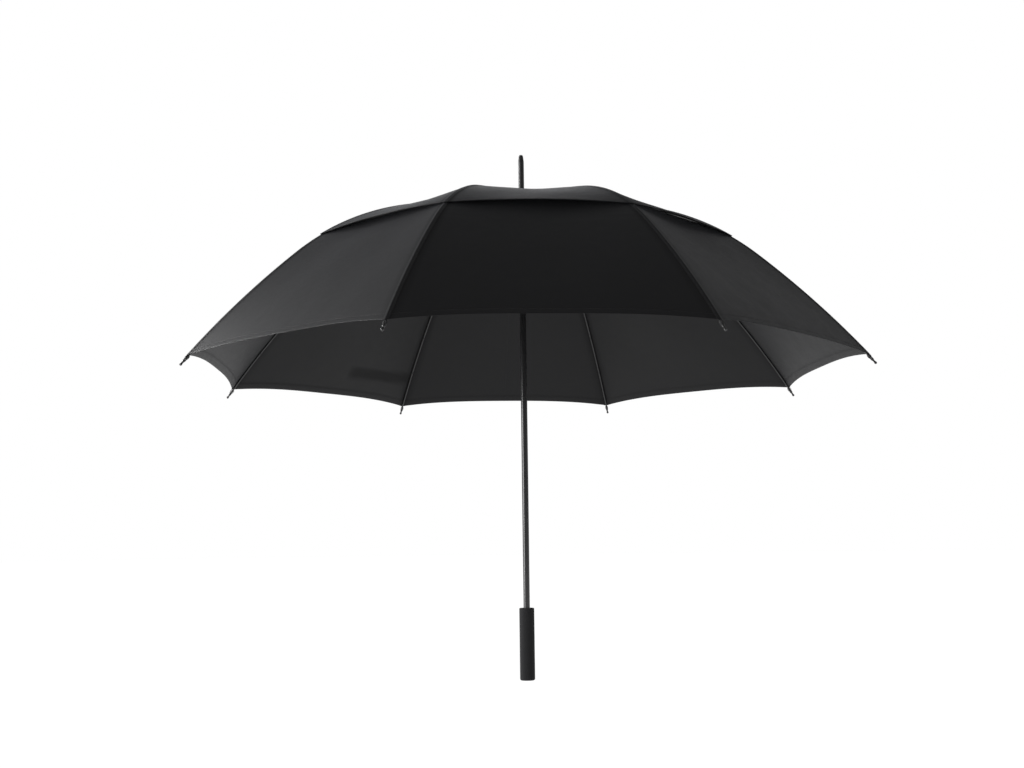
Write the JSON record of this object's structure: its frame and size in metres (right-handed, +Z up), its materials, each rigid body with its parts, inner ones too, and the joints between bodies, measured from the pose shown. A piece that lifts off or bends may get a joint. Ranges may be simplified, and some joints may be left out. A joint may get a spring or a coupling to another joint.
{
  "type": "golf umbrella",
  "caption": "Open golf umbrella with a vented double canopy on fibreglass ribs and stretchers, a straight shaft, foam grip and ferrule.",
  "frame": {"origin": "centre of the handle's bottom face", "axes": "+Z up the shaft towards the ferrule; one gore faces -Y and the catches face +Y"},
  "size_m": [1.1998, 1.1998, 1.004],
  "materials": {
    "canopy_cloth": "woven pongee, slight sheen",
    "vent_cloth": "woven pongee, slight sheen",
    "shaft_paint": "satin black",
    "fibreglass": "pultruded, satin",
    "black_plastic": "fine mould texture",
    "foam": "matt closed-cell foam",
    "steel": "bright plated"
  },
  "bodies": {
    "stick": {"shaft": "shaft_paint", "shaft_pins": "steel", "ferrule": "black_plastic", "crown_notch": "black_plastic", "crown_ring_wire": "steel", "handle_core": "black_plastic", "foam_grip": "foam"},
    "rib_inner_1": {"rib_inner_1": "fibreglass", "vent_panel_1": "vent_cloth"},
    "rib_outer_1": {"rib_outer_1": "fibreglass", "rib_tip_1": "black_plastic", "canopy_panel_1": "canopy_cloth"},
    "stretcher_1": {"stretcher_1": "fibreglass"},
    "rib_inner_2": {"rib_inner_2": "fibreglass", "vent_panel_2": "vent_cloth"},
    "rib_outer_2": {"rib_outer_2": "fibreglass", "rib_tip_2": "black_plastic", "canopy_panel_2": "canopy_cloth"},
    "stretcher_2": {"stretcher_2": "fibreglass"},
    "rib_inner_3": {"rib_inner_3": "fibreglass", "vent_panel_3": "vent_cloth"},
    "rib_outer_3": {"rib_outer_3": "fibreglass", "rib_tip_3": "black_plastic", "canopy_panel_3": "canopy_cloth", "tie_strap": "canopy_cloth"},
    "stretcher_3": {"stretcher_3": "fibreglass"},
    "rib_inner_4": {"rib_inner_4": "fibreglass", "vent_panel_4": "vent_cloth"},
    "rib_outer_4": {"rib_outer_4": "fibreglass", "rib_tip_4": "black_plastic", "canopy_panel_4": "canopy_cloth"},
    "stretcher_4": {"stretcher_4": "fibreglass"},
    "rib_inner_5": {"rib_inner_5": "fibreglass", "vent_panel_5": "vent_cloth"},
    "rib_outer_5": {"rib_outer_5": "fibreglass", "rib_tip_5": "black_plastic", "canopy_panel_5": "canopy_cloth"},
    "stretcher_5": {"stretcher_5": "fibreglass"},
    "rib_inner_6": {"rib_inner_6": "fibreglass", "vent_panel_6": "vent_cloth"},
    "rib_outer_6": {"rib_outer_6": "fibreglass", "rib_tip_6": "black_plastic", "canopy_panel_6": "canopy_cloth"},
    "stretcher_6": {"stretcher_6": "fibreglass"},
    "rib_inner_7": {"rib_inner_7": "fibreglass", "vent_panel_7": "vent_cloth"},
    "rib_outer_7": {"rib_outer_7": "fibreglass", "rib_tip_7": "black_plastic", "canopy_panel_7": "canopy_cloth"},
    "stretcher_7": {"stretcher_7": "fibreglass"},
    "rib_inner_8": {"rib_inner_8": "fibreglass", "vent_panel_8": "vent_cloth"},
    "rib_outer_8": {"rib_outer_8": "fibreglass", "rib_tip_8": "black_plastic", "canopy_panel_8": "canopy_cloth"},
    "stretcher_8": {"stretcher_8": "fibreglass"},
    "runner": {"runner": "black_plastic", "runner_ring_wire": "steel"},
    "top_catch": {"top_catch": "steel"},
    "bottom_catch": {"bottom_catch": "steel"}
  },
  "joints": [
    {"name": "rib_fold_1", "type": "hinge", "parent": "stick", "child": "rib_inner_1", "pos_m": [0.01293, 0.00536, 0.90719], "axis": [-0.3827, 0.9239, 0], "range_deg": [0, 72], "deforming": ["canopy_panel_1", "vent_panel_1"]},
    {"name": "rib_flex_1", "type": "hinge", "parent": "rib_inner_1", "child": "rib_outer_1", "pos_m": [0.32814, 0.13592, 0.83142], "axis": [-0.3827, 0.9239, 0], "range_deg": [-27, 0]},
    {"name": "stretcher_turn_1", "type": "hinge", "parent": "rib_inner_1", "child": "stretcher_1", "pos_m": [0.32606, 0.13506, 0.82718], "axis": [-0.3827, 0.9239, 0], "range_deg": [-144, 0]},
    {"name": "rib_fold_2", "type": "hinge", "parent": "stick", "child": "rib_inner_2", "pos_m": [0.00536, 0.01293, 0.90719], "axis": [-0.9239, 0.3827, 0], "range_deg": [0, 72], "deforming": ["canopy_panel_2", "vent_panel_2"]},
    {"name": "rib_flex_2", "type": "hinge", "parent": "rib_inner_2", "child": "rib_outer_2", "pos_m": [0.13592, 0.32814, 0.83142], "axis": [-0.9239, 0.3827, 0], "range_deg": [-27, 0]},
    {"name": "stretcher_turn_2", "type": "hinge", "parent": "rib_inner_2", "child": "stretcher_2", "pos_m": [0.13506, 0.32606, 0.82718], "axis": [-0.9239, 0.3827, 0], "range_deg": [-144, 0]},
    {"name": "rib_fold_3", "type": "hinge", "parent": "stick", "child": "rib_inner_3", "pos_m": [-0.00536, 0.01293, 0.90719], "axis": [-0.9239, -0.3827, 0], "range_deg": [0, 72], "deforming": ["canopy_panel_3", "vent_panel_3", "tie_strap"]},
    {"name": "rib_flex_3", "type": "hinge", "parent": "rib_inner_3", "child": "rib_outer_3", "pos_m": [-0.13592, 0.32814, 0.83142], "axis": [-0.9239, -0.3827, 0], "range_deg": [-27, 0]},
    {"name": "stretcher_turn_3", "type": "hinge", "parent": "rib_inner_3", "child": "stretcher_3", "pos_m": [-0.13506, 0.32606, 0.82718], "axis": [-0.9239, -0.3827, 0], "range_deg": [-144, 0]},
    {"name": "rib_fold_4", "type": "hinge", "parent": "stick", "child": "rib_inner_4", "pos_m": [-0.01293, 0.00536, 0.90719], "axis": [-0.3827, -0.9239, 0], "range_deg": [0, 72], "deforming": ["canopy_panel_4", "vent_panel_4"]},
    {"name": "rib_flex_4", "type": "hinge", "parent": "rib_inner_4", "child": "rib_outer_4", "pos_m": [-0.32814, 0.13592, 0.83142], "axis": [-0.3827, -0.9239, 0], "range_deg": [-27, 0]},
    {"name": "stretcher_turn_4", "type": "hinge", "parent": "rib_inner_4", "child": "stretcher_4", "pos_m": [-0.32606, 0.13506, 0.82718], "axis": [-0.3827, -0.9239, 0], "range_deg": [-144, 0]},
    {"name": "rib_fold_5", "type": "hinge", "parent": "stick", "child": "rib_inner_5", "pos_m": [-0.01293, -0.00536, 0.90719], "axis": [0.3827, -0.9239, 0], "range_deg": [0, 72], "deforming": ["canopy_panel_5", "vent_panel_5"]},
    {"name": "rib_flex_5", "type": "hinge", "parent": "rib_inner_5", "child": "rib_outer_5", "pos_m": [-0.32814, -0.13592, 0.83142], "axis": [0.3827, -0.9239, 0], "range_deg": [-27, 0]},
    {"name": "stretcher_turn_5", "type": "hinge", "parent": "rib_inner_5", "child": "stretcher_5", "pos_m": [-0.32606, -0.13506, 0.82718], "axis": [0.3827, -0.9239, 0], "range_deg": [-144, 0]},
    {"name": "rib_fold_6", "type": "hinge", "parent": "stick", "child": "rib_inner_6", "pos_m": [-0.00536, -0.01293, 0.90719], "axis": [0.9239, -0.3827, 0], "range_deg": [0, 72], "deforming": ["canopy_panel_6", "vent_panel_6"]},
    {"name": "rib_flex_6", "type": "hinge", "parent": "rib_inner_6", "child": "rib_outer_6", "pos_m": [-0.13592, -0.32814, 0.83142], "axis": [0.9239, -0.3827, 0], "range_deg": [-27, 0]},
    {"name": "stretcher_turn_6", "type": "hinge", "parent": "rib_inner_6", "child": "stretcher_6", "pos_m": [-0.13506, -0.32606, 0.82718], "axis": [0.9239, -0.3827, 0], "range_deg": [-144, 0]},
    {"name": "rib_fold_7", "type": "hinge", "parent": "stick", "child": "rib_inner_7", "pos_m": [0.00536, -0.01293, 0.90719], "axis": [0.9239, 0.3827, 0], "range_deg": [0, 72], "deforming": ["canopy_panel_7", "vent_panel_7"]},
    {"name": "rib_flex_7", "type": "hinge", "parent": "rib_inner_7", "child": "rib_outer_7", "pos_m": [0.13592, -0.32814, 0.83142], "axis": [0.9239, 0.3827, 0], "range_deg": [-27, 0]},
    {"name": "stretcher_turn_7", "type": "hinge", "parent": "rib_inner_7", "child": "stretcher_7", "pos_m": [0.13506, -0.32606, 0.82718], "axis": [0.9239, 0.3827, 0], "range_deg": [-144, 0]},
    {"name": "rib_fold_8", "type": "hinge", "parent": "stick", "child": "rib_inner_8", "pos_m": [0.01293, -0.00536, 0.90719], "axis": [0.3827, 0.9239, 0], "range_deg": [0, 72], "deforming": ["canopy_panel_8", "vent_panel_8"]},
    {"name": "rib_flex_8", "type": "hinge", "parent": "rib_inner_8", "child": "rib_outer_8", "pos_m": [0.32814, -0.13592, 0.83142], "axis": [0.3827, 0.9239, 0], "range_deg": [-27, 0]},
    {"name": "stretcher_turn_8", "type": "hinge", "parent": "rib_inner_8", "child": "stretcher_8", "pos_m": [0.32606, -0.13506, 0.82718], "axis": [0.3827, 0.9239, 0], "range_deg": [-144, 0]},
    {"name": "runner_hold", "type": "hinge", "parent": "stretcher_1", "child": "runner", "pos_m": [0.01293, 0.00536, 0.74717], "axis": [-0.3827, 0.9239, 0], "range_deg": [0, 72]},
    {"name": "top_catch_press", "type": "hinge", "parent": "stick", "child": "top_catch", "pos_m": [0, 0, 0.68457], "axis": [1, 0, 0], "range_deg": [0, 9], "stiffness_Nm_per_rad": 0.4, "springref_deg": -2.86},
    {"name": "bottom_catch_press", "type": "hinge", "parent": "stick", "child": "bottom_catch", "pos_m": [0, 0, 0.16807], "axis": [1, 0, 0], "range_deg": [0, 9], "stiffness_Nm_per_rad": 0.4, "springref_deg": -2.86}
  ],
  "couplings": [
    {"joint": "rib_flex_1", "follows": "rib_fold_1", "ratio": -0.375},
    {"joint": "stretcher_turn_1", "follows": "rib_fold_1", "ratio": -2},
    {"joint": "rib_fold_2", "follows": "rib_fold_1", "ratio": 1},
    {"joint": "rib_flex_2", "follows": "rib_fold_1", "ratio": -0.375},
    {"joint": "stretcher_turn_2", "follows": "rib_fold_1", "ratio": -2},
    {"joint": "rib_fold_3", "follows": "rib_fold_1", "ratio": 1},
    {"joint": "rib_flex_3", "follows": "rib_fold_1", "ratio": -0.375},
    {"joint": "stretcher_turn_3", "follows": "rib_fold_1", "ratio": -2},
    {"joint": "rib_fold_4", "follows": "rib_fold_1", "ratio": 1},
    {"joint": "rib_flex_4", "follows": "rib_fold_1", "ratio": -0.375},
    {"joint": "stretcher_turn_4", "follows": "rib_fold_1", "ratio": -2},
    {"joint": "rib_fold_5", "follows": "rib_fold_1", "ratio": 1},
    {"joint": "rib_flex_5", "follows": "rib_fold_1", "ratio": -0.375},
    {"joint": "stretcher_turn_5", "follows": "rib_fold_1", "ratio": -2},
    {"joint": "rib_fold_6", "follows": "rib_fold_1", "ratio": 1},
    {"joint": "rib_flex_6", "follows": "rib_fold_1", "ratio": -0.375},
    {"joint": "stretcher_turn_6", "follows": "rib_fold_1", "ratio": -2},
    {"joint": "rib_fold_7", "follows": "rib_fold_1", "ratio": 1},
    {"joint": "rib_flex_7", "follows": "rib_fold_1", "ratio": -0.375},
    {"joint": "stretcher_turn_7", "follows": "rib_fold_1", "ratio": -2},
    {"joint": "rib_fold_8", "follows": "rib_fold_1", "ratio": 1},
    {"joint": "rib_flex_8", "follows": "rib_fold_1", "ratio": -0.375},
    {"joint": "stretcher_turn_8", "follows": "rib_fold_1", "ratio": -2},
    {"joint": "runner_hold", "follows": "rib_fold_1", "ratio": 1}
  ]
}
